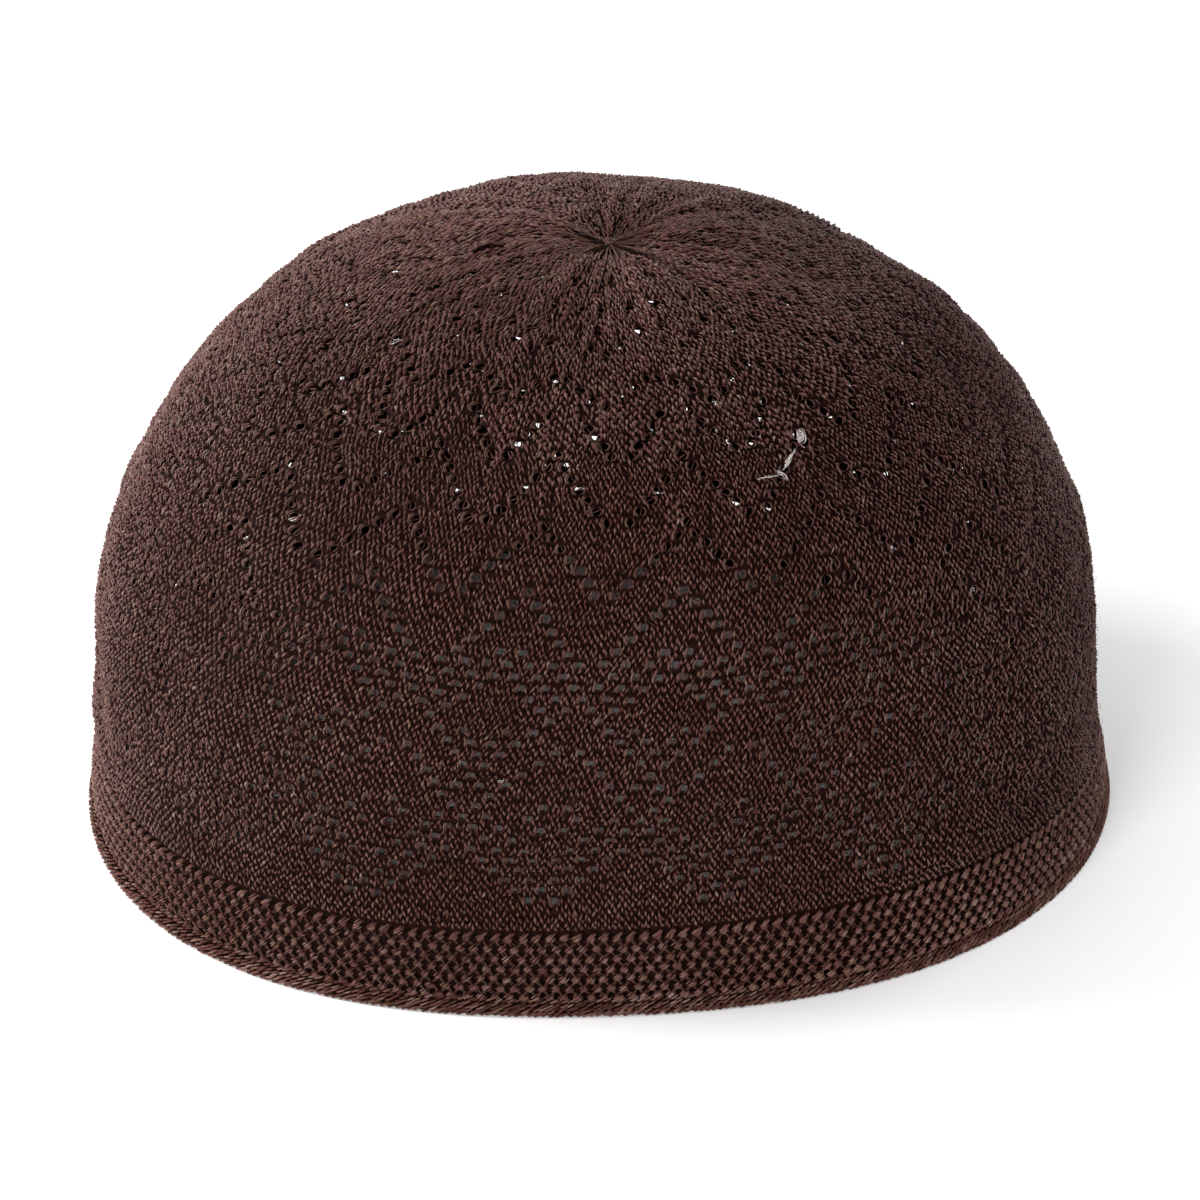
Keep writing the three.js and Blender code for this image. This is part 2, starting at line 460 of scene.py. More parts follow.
def strands(name, spine, half_width, half_depth, outward, sides=4, tone=None):
    """Closed yarn strands. The spine is (strands, points, xyz), and tapers to a tip at each end.

    A strand's tone runs from 0 for the darkest yarn to 1 for the lightest.
    """
    count, points, _ = spine.shape
    rings = points - 2
    inner = spine[:, 1:-1]
    along = unit(spine[:, 2:] - spine[:, :-2])
    side = unit(np.cross(along, outward[:, None, :]))
    lift = np.cross(side, along)
    turn = np.arange(sides) * FULL_TURN / sides + np.pi / 2
    wide = np.broadcast_to(half_width, (count, rings))[..., None, None]
    deep = np.broadcast_to(half_depth, (count, rings))[..., None, None]
    cosine, sine = np.cos(turn)[:, None], np.sin(turn)[:, None]
    ring = inner[:, :, None, :] + wide * cosine * side[:, :, None, :] + deep * sine * lift[:, :, None, :]
    vertices = np.concatenate([spine[:, :1], ring.reshape(count, rings * sides, 3), spine[:, -1:]], axis=1)
    triangles, corners = strand_template(rings, sides)
    per_strand = vertices.shape[1]
    index = triangles[None] + (np.arange(count) * per_strand)[:, None, None]
    shade = rng.random(count) if tone is None else np.clip(tone, 0, 1)
    uv = np.broadcast_to(corners, (count,) + corners.shape).copy()
    uv[..., 0] += shade[:, None, None] * PLY_SHIFT
    vertices, index, uv = vertices.reshape(-1, 3), index.reshape(-1, 3), uv.reshape(-1, 2)
    return mesh_object(name, vertices, index, uv, np.repeat(shade, per_strand))


def unwrapped(values, whole):
    """Corner values with a whole turn added to the low ones of a triangle that spans the join."""
    spans = (values.max(axis=1) - values.min(axis=1)) > whole / 2
    return values + np.where(spans[:, None] & (values < whole / 2), whole, 0)


# ---------------------------------------- crown
def crown_web():
    """The knit's back loops: a thin closed shell with a real hole at each eyelet."""
    columns = WALES * 2
    wales = np.repeat(np.arange(WALES), 2) + np.tile([-0.3, 0.3], WALES)
    courses = np.append(np.arange(COURSES), COURSES - 0.45)
    u, v = np.meshgrid(wales, courses, indexing="ij")
    wale, course = np.nonzero(EYELETS)
    reach = REACH[course]
    # A wide eyelet opens one or two more columns of the shell on each side, and no opening is
    # drawn so wide that it would meet its neighbour on the slant.
    extra = np.select([reach < 0.64, reach < 1.0], [0, 1], 2)
    drawn = np.minimum(WEB_SHARE * reach * DRAWN_OPEN[wale, course], 0.47 + 0.5 * extra)
    for side, outward in ((0, -1), (1, 1)):
        edge = (2 * wale + side + outward * extra) % columns
        for end, lift in ((0, WEB_CORNERS - TALL[course]), (1, TALL[course] - WEB_CORNERS)):
            u[edge, course + end] = wale + outward * drawn
            np.add.at(v, (edge, course + end), lift)
    here, _, _, out, _, _ = frame_of(knit_point, u, v)
    outer = here + out * WEB_OUTER
    inner = here + out * WEB_INNER
    rows = len(courses)
    keep = np.ones((columns, rows - 1), bool)
    for aside in range(-2, 3):
        opened = np.abs(aside) <= extra
        keep[(2 * wale[opened] + aside) % columns, course[opened]] = False
    top = knit_point(0.0, float(COURSES))
    pole = np.array([top + [0, 0, WEB_OUTER], top + [0, 0, WEB_INNER]])
    vertices = np.concatenate([outer.reshape(-1, 3), inner.reshape(-1, 3), pole])
    size = columns * rows
    index = np.arange(size).reshape(columns, rows)
    quads = []

    def add(cells, *corners):
        """Adds a quad at each of some cells. A corner is (across, up, 1 on the inner face)."""
        i, j = np.nonzero(cells)
        quad = [index[(i + across) % columns, j + up] + size * inner for across, up, inner in corners]
        quads.append(np.stack(quad, axis=-1))

    # The two faces, then a wall wherever a kept cell has no neighbour. The last row has one in the
    # caps that close the crown's centre.
    padded = np.pad(keep, ((0, 0), (1, 1)), constant_values=False)
    padded[:, -1] = True
    add(keep, (0, 0, 0), (1, 0, 0), (1, 1, 0), (0, 1, 0))
    add(keep, (0, 0, 1), (0, 1, 1), (1, 1, 1), (1, 0, 1))
    add(keep & ~np.roll(keep, -1, axis=0), (1, 0, 0), (1, 0, 1), (1, 1, 1), (1, 1, 0))
    add(keep & ~np.roll(keep, 1, axis=0), (0, 1, 0), (0, 1, 1), (0, 0, 1), (0, 0, 0))
    add(keep & ~padded[:, 2:], (0, 1, 1), (0, 1, 0), (1, 1, 0), (1, 1, 1))
    add(keep & ~padded[:, :-2], (1, 0, 1), (1, 0, 0), (0, 0, 0), (0, 0, 1))
    quads = np.concatenate(quads)
    ring = index[:, -1]
    following = np.roll(ring, -1)
    tip = np.full(columns, 2 * size)
    outer_caps = np.stack([ring, following, tip], axis=-1)
    inner_caps = np.stack([following + size, ring + size, tip + 1], axis=-1)
    triangles = np.concatenate([quads[:, [0, 1, 2]], quads[:, [0, 2, 3]], outer_caps, inner_caps])
    stitches = LEG_COLUMNS / 2 / WALES
    plan = np.stack([u.ravel() * stitches, v.ravel() * LEG_ROWS / COURSES], axis=-1)
    plan = np.concatenate([plan, plan, [[0, LEG_ROWS], [0, LEG_ROWS]]])
    corner_uv = plan[triangles]
    corner_uv[..., 0] = unwrapped(corner_uv[..., 0], LEG_COLUMNS / 2)
    return mesh_object("crown_web", vertices, triangles, corner_uv)


def crown_stitches():
    """Two legs to a stitch, which lean apart like a V, with neighbours half a row apart.

    Towards the centre there is no room for every column, so half of them sink out of sight, then
    half of the rest.
    """
    column, row = every(np.arange(LEG_COLUMNS), np.arange(LEG_ROWS))
    count = len(column)
    u = column * WALES / LEG_COLUMNS
    v = (row + 0.5) * COURSES / LEG_ROWS
    _, _, _, _, width, _ = frame_of(knit_point, u, v, 0.5, 0.1)
    pitch = width * WALES / LEG_COLUMNS
    sunk = np.zeros(count)
    side = column % 2
    sinks_at = (SINKS_AT + 0.06 * rng.normal(0, 1, LEG_COLUMNS))[column]
    for level in range(1, 6):
        spacing = pitch * 2 ** (level - 1)
        leaves = column % 2**level == 2 ** (level - 1)
        sunk = np.where(leaves, smooth_step((sinks_at - spacing) / SINKS_OVER), sunk)
        side = np.where(spacing < LEG_ROOM, (column >> level) % 2, side)
    room = pitch * 2 ** np.clip(np.ceil(np.log2(LEG_ROOM / pitch)), 0, 5)
    lean_to = np.where(side == 0, -1.0, 1.0)
    u = u + 0.06 * rng.normal(0, 1, count) / width
    v = np.clip(v + 0.21 * lean_to + rng.normal(0, 0.09, count), 0.2, COURSES - 0.6)
    here, across, up, out, _, height = frame_of(knit_point, u, v)
    row_height = height * COURSES / LEG_ROWS
    drawn_in = smooth_step((v - 42) / 22)
    lean = np.radians(rng.normal(5, 10, count) - LEG_LEAN * lean_to * (1 - 0.7 * drawn_in))
    along = up * np.cos(lean)[:, None] - across * np.sin(lean)[:, None]
    half_length = row_height * (0.49 + 0.4 * drawn_in) * rng.normal(1, 0.15, count)
    top = -0.08 - 0.6 * sunk + rng.normal(0, 0.08, count)
    half_width = np.clip(0.4 * room, LEG_LEAST, LEG_MOST) * rng.normal(1, 0.1, count) * (1 - 0.3 * sunk)
    tone = rng.normal(0.5, 0.17, count)
    shares = np.array([-1.0, 0.08, 1.0])
    sink = np.array([-0.45, 0.0, -0.45])
    spine = threads(here, (along, half_length[:, None] * shares), (out, top[:, None] + sink))
    shown = (sunk < 0.95) & ~in_eyelet(u, v)
    made = []
    for number, first in enumerate(range(0, LEG_ROWS, ROWS_TO_A_MESH), 1):
        pick = shown & (row >= first) & (row < first + ROWS_TO_A_MESH)
        name = f"crown_stitches_{number}"
        width, shade = half_width[pick][:, None], tone[pick]
        made.append(strands(name, spine[pick], width, LEG_DEPTH, out[pick], tone=shade))
    return made


def eyelet_loops():
    """The threads that bow round each eyelet: two on its left, over the knit, and one on its right."""
    wale, course = np.nonzero(EYELETS)
    wale, course = np.repeat(wale, 3), np.repeat(course, 3)
    count = len(wale)
    kind = np.tile([0, 1, 2], count // 3)
    bow_to = np.where(kind == 2, 1.0, -1.0)
    here, across, up, out, width, height = frame_of(knit_point, wale.astype(float), course + 0.5)
    half = width * REACH[course] * DRAWN_OPEN[wale, course]
    shares = np.array([-0.5, -0.3, 0.0, 0.3, 0.5])
    bows = np.array([0.05, 0.72, 0.98, 0.72, 0.05])
    sink = np.array([-0.6, -0.48, -0.42, -0.45, -0.6])
    aside = bow_to * (half * rng.normal(1, 0.06, count))
    beyond = bow_to * np.choose(kind, [0.03, 0.27, 0.03])
    rise = height * np.choose(kind, [0.29, 0.53, 0.29]) * rng.normal(1, 0.08, count)
    rise = rise + height * TALL[course]
    deeper = np.choose(kind, [0.0, 0.2, 0.0]) + rng.normal(0, 0.05, count)
    spine = threads(
        here,
        (up, rise[:, None] * shares),
        (across, aside[:, None] * bows + beyond[:, None]),
        (out, sink + deeper[:, None]),
    )
    # The loops on the left get lighter tones and the right loop a darker one: painted light from the left
    # softbox, and painted shade on the right.
    tone = np.choose(kind, [0.4, 0.6, 0.3]) + 0.4 * rng.random(count)
    half_width = np.choose(kind, LOOP_WIDTHS)[:, None]
    return strands("eyelet_loops", spine, half_width, LOOP_DEPTH, out, sides=3, tone=tone)


def eyelet_bars():
    """One loose thread of the knit across each eyelet, deep down, at any slant."""
    wale, course = np.nonzero(EYELETS)
    count = len(wale)
    here, across, up, out, _, _ = frame_of(knit_point, wale.astype(float), course + 0.5)
    along = aslant(across, up, np.radians(rng.uniform(20, 160, count)))
    off = np.cross(out, along) * rng.normal(0, 0.3, (count, 1))
    shares = np.array([-1.2, -0.5, 0.4, 1.2])
    sink = np.array([-0.78, -0.82, -0.86, -0.78])
    spine = threads(here + off, (along, shares), (out, sink))
    half_width = rng.uniform(BAR_LEAST, BAR_MOST, count)[:, None]
    tone = 0.6 * rng.random(count)
    return strands("eyelet_bars", spine, half_width, BAR_DEPTH, out, sides=3, tone=tone)


def crown_gather():
    """Where the last course is drawn tight: long threads run in and dive under a small knot."""
    count = GATHER_THREADS
    wale = (np.arange(count) + rng.uniform(-0.4, 0.4, count)) * WALES / count
    start = rng.uniform(*GATHER_STARTS, count)
    lengths = np.array([0.0, 0.2, 0.45, 0.7, 0.9, 1.0])
    rise = np.array([-0.6, -0.1, 0.05, 0.3, 0.6, 0.4])
    course = start[:, None] + (COURSES - 0.2 - start[:, None]) * lengths
    wander = wale[:, None] + rng.normal(0, 4.0, (count, 1)) * lengths
    here, _, _, out, _, _ = frame_of(knit_point, wander, course)
    spine = here + out * (rise + rng.normal(0, 0.15, (count, 1)))[..., None]
    centre = knit_point(0.0, float(COURSES))
    knot = []
    shares = np.array([-1.0, -0.7, -0.25, 0.25, 0.7, 1.0])
    for turn in range(KNOT_THREADS):
        heading = turn * 2.2 + 0.4
        reach = np.array([np.cos(heading), np.sin(heading), 0.0])
        lift = 0.7 + 0.14 * turn
        bow = lift - 1.1 * shares**2
        across = np.cross(reach, [0, 0, 1.0]) * rng.normal(0, 0.25)
        knot.append(centre + across + reach * (KNOT_REACH * shares)[:, None] + [0, 0, 1.0] * bow[:, None])
    spine = np.concatenate([spine, np.array(knot)])
    outward = np.concatenate([out[:, 2], np.tile([0.0, 0.0, 1.0], (len(knot), 1))])
    widths = rng.uniform(GATHER_LEAST, GATHER_MOST, count)
    half_width = np.concatenate([widths, np.full(len(knot), KNOT_WIDTH)])
    # The gathered threads get dark tones: painted shade over the drawn-in centre.
    tone = np.concatenate([0.05 + 0.4 * rng.random(count), np.full(len(knot), 0.45)])
    return strands("crown_gather", spine, half_width[:, None], GATHER_DEPTH, outward, tone=tone)


# ---------------------------------------- band
BAND_FOOT = EDGE_HEIGHT + SEAM_GAP


def band_out(share):
    """How far the band swells out at a share of its height."""
    return -0.7 + 1.0 * np.sin(np.pi * np.clip(share, 0, 1)) ** 0.35


def band_height(angle, share):
    """The height at a share of the band, from its foot at 0 to the seam at 1."""
    return BAND_FOOT + (seam_height(angle) - SEAM_GAP / 2 - BAND_FOOT) * share


def band_angle(stitch):
    """The angle round the cap of a stitch of the band."""
    return FRONT + stitch * FULL_TURN / BAND_STITCHES


def band_point(stitch, share):
    """The face of the band at a stitch and a share of its height."""
    stitch, share = np.broadcast_arrays(np.asarray(stitch, float), np.asarray(share, float))
    angle = band_angle(stitch)
    return rim_point(angle, band_height(angle, share), band_out(share))


def ring_mesh(name, section, height_at):
    """A closed ring with a stitch to each column. The section lists (out, share of the height)."""
    columns = BAND_STITCHES
    angle = band_angle(np.arange(columns))
    points = np.stack([rim_point(angle, height_at(angle, share), out) for out, share in section], axis=1)
    size = len(section)
    index = np.arange(columns * size).reshape(columns, size)
    following = np.roll(index, -1, axis=0)
    a, b = index, following
    c, d = np.roll(following, -1, axis=1), np.roll(index, -1, axis=1)
    halves = [np.stack(corners, axis=-1).reshape(-1, 3) for corners in ((a, b, c), (a, c, d))]
    triangles = np.concatenate(halves)
    places = np.stack(every(np.arange(columns), np.arange(size)), axis=-1).astype(float)
    corner_uv = places[triangles]
    for axis, whole in ((0, columns), (1, size)):
        corner_uv[..., axis] = unwrapped(corner_uv[..., axis], whole)
    return mesh_object(name, points.reshape(-1, 3), triangles, corner_uv)


def band_core():
    """The band's folded inner layers, under its bundles."""
    section = [
        (-2.1, 0.0),
        (-1.4, 0.0),
        (-1.1, 0.12),
        (-0.85, 0.35),
        (-0.8, 0.6),
        (-0.9, 0.85),
        (-1.3, 1.0),
        (-2.0, 1.0),
        (-2.6, 0.8),
        (-2.6, 0.5),
        (-2.6, 0.2),
    ]
    return ring_mesh("band_core", section, band_height)


def band_stitches():
    """Half-dropped rows of short bundles, each of four slanting threads."""
    stitch, row, thread = every(np.arange(BAND_STITCHES), np.arange(BAND_ROWS), [-1.5, -0.5, 0.5, 1.5])
    count = len(stitch)
    bundle = rng.normal(0, 1, (BAND_STITCHES, BAND_ROWS, 3))[stitch, row]
    u = stitch + 0.5 * (row % 2) + 0.05 * bundle[:, 0] + rng.normal(0, 0.03, count)
    v = (row + 0.45) / BAND_ROWS + 0.006 * bundle[:, 1]
    here, across, up, out, _, _ = frame_of(band_point, u, v, dv=0.01)
    slant = np.radians(BUNDLE_SLANT + 4 * bundle[:, 2] + rng.normal(0, 5, count))
    along = aslant(across, up, slant)
    half_length = np.where(np.abs(thread) < 1, 0.95, 0.75) * rng.normal(1, 0.08, count)
    shares = np.array([-1.0, -0.45, 0.45, 1.0])
    sink = np.array([-0.6, 0.0, 0.0, -0.6])
    top = np.where(np.abs(thread) < 1, 0.14, -0.08) + rng.normal(0, 0.06, count)
    aside = (across * 0.27 - up * 0.17) * thread[:, None]
    spine = threads(here + aside, (along, half_length[:, None] * shares), (out, top[:, None] + sink))
    # Light tones only: a painted highlight on the raised bundles.
    tone = 0.35 + 0.65 * rng.random(count)
    return strands("band_stitches", spine, BUNDLE_WIDTH, BUNDLE_DEPTH, out, sides=3, tone=tone)


def band_crossings():
    """The deeper threads from each bundle to the next, in darker tones as painted shade: two down to the
    right, two up to it.
    """
    stitch, row, thread = every(np.arange(BAND_STITCHES), np.arange(BAND_ROWS), [0, 1, 2, 3])
    count = len(stitch)
    rising = thread > 1
    u = stitch + 0.5 * (row % 2) + 0.18 + 0.13 * (thread % 2) + rng.normal(0, 0.03, count)
    v = (row + np.where(rising, 0.85, -0.05)) / BAND_ROWS
    here, across, up, out, _, _ = frame_of(band_point, u, v, dv=0.01)
    falls, rises = CROSSING_SLANTS
    slant = np.radians(np.where(rising, rises, falls) + rng.normal(0, 7, count))
    shares = np.array([-1.0, -0.4, 0.4, 1.0])
    sink = np.array([-0.6, -0.34, -0.34, -0.6])
    spine = threads(here, (aslant(across, up, slant), 0.85 * shares), (out, sink))
    # Dark tones only: painted shade on threads that lie deep between the bundles.
    tone = 0.4 * rng.random(count)
    return strands("band_crossings", spine, CROSSING_WIDTH, CROSSING_DEPTH, out, sides=3, tone=tone)


def link_stitches():
    """Three slanting threads to each stitch, which join the crown to the band."""
    stitch, thread = every(np.arange(BAND_STITCHES), [0, 1, 2])
    stitch = stitch + 0.13 * thread
    count = len(stitch)
    angle = band_angle(stitch)
    step = FULL_TURN / BAND_STITCHES
    drop = rng.normal(0, 0.1, count)
    low = rim_point(angle - 0.3 * step, seam_height(angle) - 1.3 + drop, -0.1)
    high = rim_point(angle + 0.3 * step, seam_height(angle) + 0.1 + drop, -0.1)
    out = unit(rim_point(angle, seam_height(angle), 1.0) - rim_point(angle, seam_height(angle), 0.0))
    shares = np.array([0.0, 0.3, 0.7, 1.0])
    sink = np.array([-0.8, 0.1, 0.1, -0.8])
    spine = threads(low, (high - low, shares), (out, sink))
    tone = 0.3 + 0.5 * rng.random(count)
    return strands("link_stitches", spine, LINK_WIDTH, LINK_DEPTH, out, sides=3, tone=tone)


# ---------------------------------------- rolled edge
def edge_core():
    """The rolled cloth inside the chain edge."""
    section = [
        (-2.0, 0.1),
        (0.1, 0.1),
        (0.32, 0.28),
        (0.0, 0.62),
        (-0.9, 1.17),
        (-2.1, 1.17),
        (-2.4, 0.5),
    ]
    return ring_mesh("edge_core", section, lambda angle, share: EDGE_HEIGHT * share + 0 * angle)


def edge_chain():
    """The chain edge: short overlapping threads aslant round the rim, over the rolled cloth."""
    rows = (  # height, how far out, shift round the rim in stitches
        (2.5, -0.4, 0.2),
        (1.9, 0.1, 0.0),
        (1.4, 0.4, 0.5),
        (0.9, 0.6, 0.2),
        (0.45, 0.6, 0.7),
    )
    thread = (  # share of a stitch, sink, rise
        (-0.45, -0.5, -0.5),
        (-0.18, 0.0, -0.2),
        (0.18, 0.0, 0.2),
        (0.45, -0.5, 0.5),
    )
    spines, outs = [], []
    for height, out_at, shift in rows:
        stitch = np.arange(0, BAND_STITCHES, 0.5) + shift
        stitch = stitch + rng.normal(0, 0.06, len(stitch))
        level = height + rng.normal(0, 0.1, len(stitch))
        spine = []
        for share, sink, rise in thread:
            angle = band_angle(stitch + share)
            spine.append(rim_point(angle, np.maximum(level + rise, CHAIN_LOWEST), out_at + sink))
        angle = band_angle(stitch)
        spines.append(np.stack(spine, axis=1))
        outs.append(np.stack([np.cos(angle), np.sin(angle), 0 * angle], axis=-1))
    spines, outs = np.concatenate(spines), np.concatenate(outs)
    return strands("edge_chain", spines, CHAIN_WIDTH, CHAIN_DEPTH, outs)


# ---------------------------------------- loose fibres
def fuzz():
    """Loose filament ends that stand off the crown, each in an arc of its own."""
    count = FUZZ_HAIRS
    wale = rng.random(count) * WALES
    course = rng.random(count) * (COURSES - 4)
    here, across, up, out, _, _ = frame_of(knit_point, wale, course)
    points = 5
    length = rng.uniform(0.8, 2.6, count)
    heading = rng.random(count) * FULL_TURN
    start = aslant(across, up, heading)
    bend = rng.normal(0, 0.8, (count, 1))
    turned = np.cross(out, start)
    spine = np.zeros((count, points, 3))
    for step in range(points):
        share = step / (points - 1)
        reach = length[:, None] * share
        rise = 0.1 + 0.55 * np.sin(share * np.pi * 0.75) * length[:, None] * 0.6
        spine[:, step] = here + start * reach * 0.8 + turned * bend * share * share + out * rise
    return strands("fuzz", spine, FUZZ_WIDTH, FUZZ_WIDTH, out, sides=3)


def lint():
    """A tuft of white lint caught in the knit, a fallen fibre loop higher up, and a few specks."""
    tufts = (  # reach and curl are millimetres, and toward is the direction in degrees
        {"wale": 21.2, "course": 42.0, "reach": 0.9, "curl": 0.7, "fibres": 12, "toward": 60},
        {"wale": 18.7, "course": 40.3, "reach": 1.7, "curl": 0.25, "fibres": 16, "toward": 48},
        {"wale": 17.2, "course": 38.9, "reach": 1.0, "curl": 0.35, "fibres": 6, "toward": 130},
        {"wale": 15.7, "course": 38.9, "reach": 2.2, "curl": 0.15, "fibres": 3, "toward": 2},
        {"wale": -37.0, "course": 50.0, "reach": 1.6, "curl": 0.5, "fibres": 2, "toward": 80},
        {"wale": -4.5, "course": 14.2, "reach": 0.6, "curl": 0.2, "fibres": 3, "toward": 10},
    )
    spines, outs = [], []
    share = np.linspace(0, 1, 11)
    for tuft in tufts:
        here, across, up, out, _, _ = frame_of(knit_point, tuft["wale"], tuft["course"])
        heading = np.radians(tuft["toward"])
        lie = across * np.cos(heading) + up * np.sin(heading)
        aside = np.cross(out, lie)
        for _ in range(tuft["fibres"]):
            reach = tuft["reach"] * rng.uniform(0.5, 1.1)
            start = rng.normal(0, 0.3, 2) * (tuft["reach"], tuft["curl"])
            curl = rng.uniform(0.5, 1.2) * tuft["curl"]
            turns = rng.uniform(4, 9)
            phase = rng.random() * FULL_TURN
            forward = (share - 0.5) * reach * 2 + start[0] + curl * np.cos(turns * share + phase)
            sideways = start[1] + curl * np.sin(turns * share + phase)
            rise = 0.2 + 0.3 * np.sin(np.pi * share) * rng.uniform(0.3, 1.6)
            lies = lie * forward[:, None] + aside * sideways[:, None]
            spines.append(here + lies + out * rise[:, None])
            outs.append(out)
    return strands("lint", np.array(spines), LINT_WIDTH, LINT_WIDTH, np.array(outs), sides=3)


# ---------------------------------------- finishes
CROWN_TONES = ("#1a0a07", "#402e25", "#442726", "#5d3f3e", "#634e40", "#8b7470")
# The band's tones are the crown's yarn made lighter: a painted highlight on its glossier bundles.
BAND_HIGHLIGHT_TONES = ("#210f0b", "#4b352a", "#4c2d2c", "#6c4847", "#745a4b", "#957a77")
# Near-black tones for the purl side of the same brown yarn: painted shade between the stitches and under
# the band's bundles.
BACK_SHADE_TONES = ("#0e0301", "#200b07")
SHEEN_TINT = "#c86c3c"
DYE_PATCHES = 4.5  # to 100 mm of cloth, so that each is about 22 mm across
PLIES = 6  # ridges round a strand, 0.2 mm each: coarser than real filaments, so that they show
PLY_TWIST = 0.6  # turns that they make along a strand
PLY_BUMP = 0.1 * MM
PURL_BUMP = 0.4 * MM  # one low bump to a stitch, 1.3 mm wide on the crown and 2.5 mm on the band
PURL_WALES = 0.35  # how deep the furrows between wales are beside those between rows


def linear(hex_code):
    """An sRGB hex colour as linear red, green, blue and alpha."""
    channels = [int(hex_code[place : place + 2], 16) / 255 for place in (1, 3, 5)]
    return [c / 12.92 if c <= 0.04045 else ((c + 0.055) / 1.055) ** 2.4 for c in channels] + [1.0]


def add_node(tree, kind, inputs=None, **settings):
    """Adds a shader node, sets it up, and links or fills its inputs."""
    made = tree.nodes.new("ShaderNode" + kind)
    for name, value in settings.items():
        setattr(made, name, value)
    for socket, value in (inputs or {}).items():
        if isinstance(value, bpy.types.NodeSocket):
            tree.links.new(value, made.inputs[socket])
        else:
            made.inputs[socket].default_value = value
    return made


def new_material(name):
    """An empty material and its node tree."""
    material = bpy.data.materials.new(name)
    material.use_nodes = True
    material.node_tree.nodes.clear()
    return material, material.node_tree


def textured_yarn(name, tones, sheen, roughness, gloss):
    """Dyed polyester filament yarn, textured and loosely plied, then knitted by machine.

    To the eye: deep brown, not quite even from thread to thread, with fine slanting plies that catch
    small dull highlights, and a warm bloom of loose filaments along every edge.
    """
    material, tree = new_material(name)
    thread = add_node(tree, "Attribute", attribute_name="yarn_shade", attribute_type="GEOMETRY")
    place = add_node(tree, "TexCoord")
    dye = add_node(
        tree,
        "TexNoise",
        {"Vector": place.outputs["Object"], "Scale": DYE_PATCHES / (100 * MM), "Detail": 3.0},
    )
    tone = add_node(
        tree,
        "Math",
        {0: dye.outputs["Fac"], 1: 0.5, 2: thread.outputs["Fac"]},
        operation="MULTIPLY_ADD",
    )
    share = add_node(tree, "MapRange", {"Value": tone.outputs["Value"], "From Min": 0.15, "From Max": 1.35})
    colour = add_node(tree, "ValToRGB", {"Fac": share.outputs["Result"]})
    ramp = colour.color_ramp
    while len(ramp.elements) < len(tones):
        ramp.elements.new(0.5)
    for number, code in enumerate(tones):
        ramp.elements[number].position = number / (len(tones) - 1)
        ramp.elements[number].color = linear(code)
    along = add_node(tree, "SeparateXYZ", {"Vector": place.outputs["UV"]})
    twist = add_node(
        tree,
        "Math",
        {0: along.outputs["X"], 1: PLY_TWIST, 2: along.outputs["Y"]},
        operation="MULTIPLY_ADD",
    )
    plies = add_node(tree, "Math", {0: twist.outputs["Value"], 1: FULL_TURN * PLIES}, operation="MULTIPLY")
    ridge = add_node(tree, "Math", {0: plies.outputs["Value"]}, operation="SINE")
    bump = add_node(tree, "Bump", {"Strength": 0.6, "Distance": PLY_BUMP, "Height": ridge.outputs["Value"]})
    shader = add_node(
        tree,
        "BsdfPrincipled",
        {
            "Base Color": colour.outputs["Color"],
            "Roughness": roughness,
            "Specular IOR Level": gloss,
            "Sheen Weight": sheen,
            "Sheen Roughness": 0.4,
            "Sheen Tint": linear(SHEEN_TINT),
            "Normal": bump.outputs["Normal"],
        },
    )
    add_node(tree, "OutputMaterial", {"Surface": shader.outputs["BSDF"]})
    return material


def knit_backing(name, dark, light):
    """The back loops of the same yarn, knitted plain and pressed together.

    To the eye: matt, with rows of low bumps across each wale; the near-black is painted shade between
    stitches.
    """
    material, tree = new_material(name)
    place = add_node(tree, "TexCoord")
    plan = add_node(tree, "SeparateXYZ", {"Vector": place.outputs["UV"]})
    waves = []
    for axis in ("X", "Y"):
        turns = add_node(tree, "Math", {0: plan.outputs[axis], 1: FULL_TURN}, operation="MULTIPLY")
        waves.append(add_node(tree, "Math", {0: turns.outputs["Value"]}, operation="COSINE"))
    purl = add_node(
        tree,
        "Math",
        {0: waves[0].outputs["Value"], 1: PURL_WALES, 2: waves[1].outputs["Value"]},
        operation="MULTIPLY_ADD",
    )
    # Painted shade: the colour is darker in the furrows between the purl bumps.
    share = add_node(tree, "MapRange", {"Value": purl.outputs["Value"], "From Min": -1.2, "From Max": 1.2})
    colour = add_node(tree, "Mix", {"Factor": share.outputs["Result"]}, data_type="RGBA")
    colour.inputs["A"].default_value = linear(dark)
    colour.inputs["B"].default_value = linear(light)
    bump = add_node(tree, "Bump", {"Strength": 0.8, "Distance": PURL_BUMP, "Height": purl.outputs["Value"]})
    shader = add_node(
        tree,
        "BsdfPrincipled",
        {
            "Base Color": colour.outputs["Result"],
            "Roughness": 0.85,
            "Specular IOR Level": 0.08,
            "Normal": bump.outputs["Normal"],
        },
    )
    add_node(tree, "OutputMaterial", {"Surface": shader.outputs["BSDF"]})
    return material


def cotton_lint():
    """White cotton lint, carded loose. To the eye: pale and matt, with a soft edge of fibre."""
    material, tree = new_material("white_cotton_lint")
    finish = {"Base Color": linear("#dcd4ce"), "Roughness": 0.8, "Sheen Weight": 0.3}
    shader = add_node(tree, "BsdfPrincipled", finish)
    add_node(tree, "OutputMaterial", {"Surface": shader.outputs["BSDF"]})
    return material


def floor_paint():
    """Matt emulsion paint, rolled on board. To the eye: even and almost white, with no gloss."""
    material, tree = new_material("pale_floor")
    shader = add_node(tree, "BsdfPrincipled", {"Base Color": linear("#fafafa"), "Roughness": 0.9})
    add_node(tree, "OutputMaterial", {"Surface": shader.outputs["BSDF"]})
    return material


# ---------------------------------------- the cap
def dress(piece, slot, material, *replaced):
    """Gives a piece its finish, its place in the frame, and the solid that it stands for, if any."""
    piece.data.materials.append(material)
    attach(piece, "root")
    if replaced:
        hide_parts(*replaced)


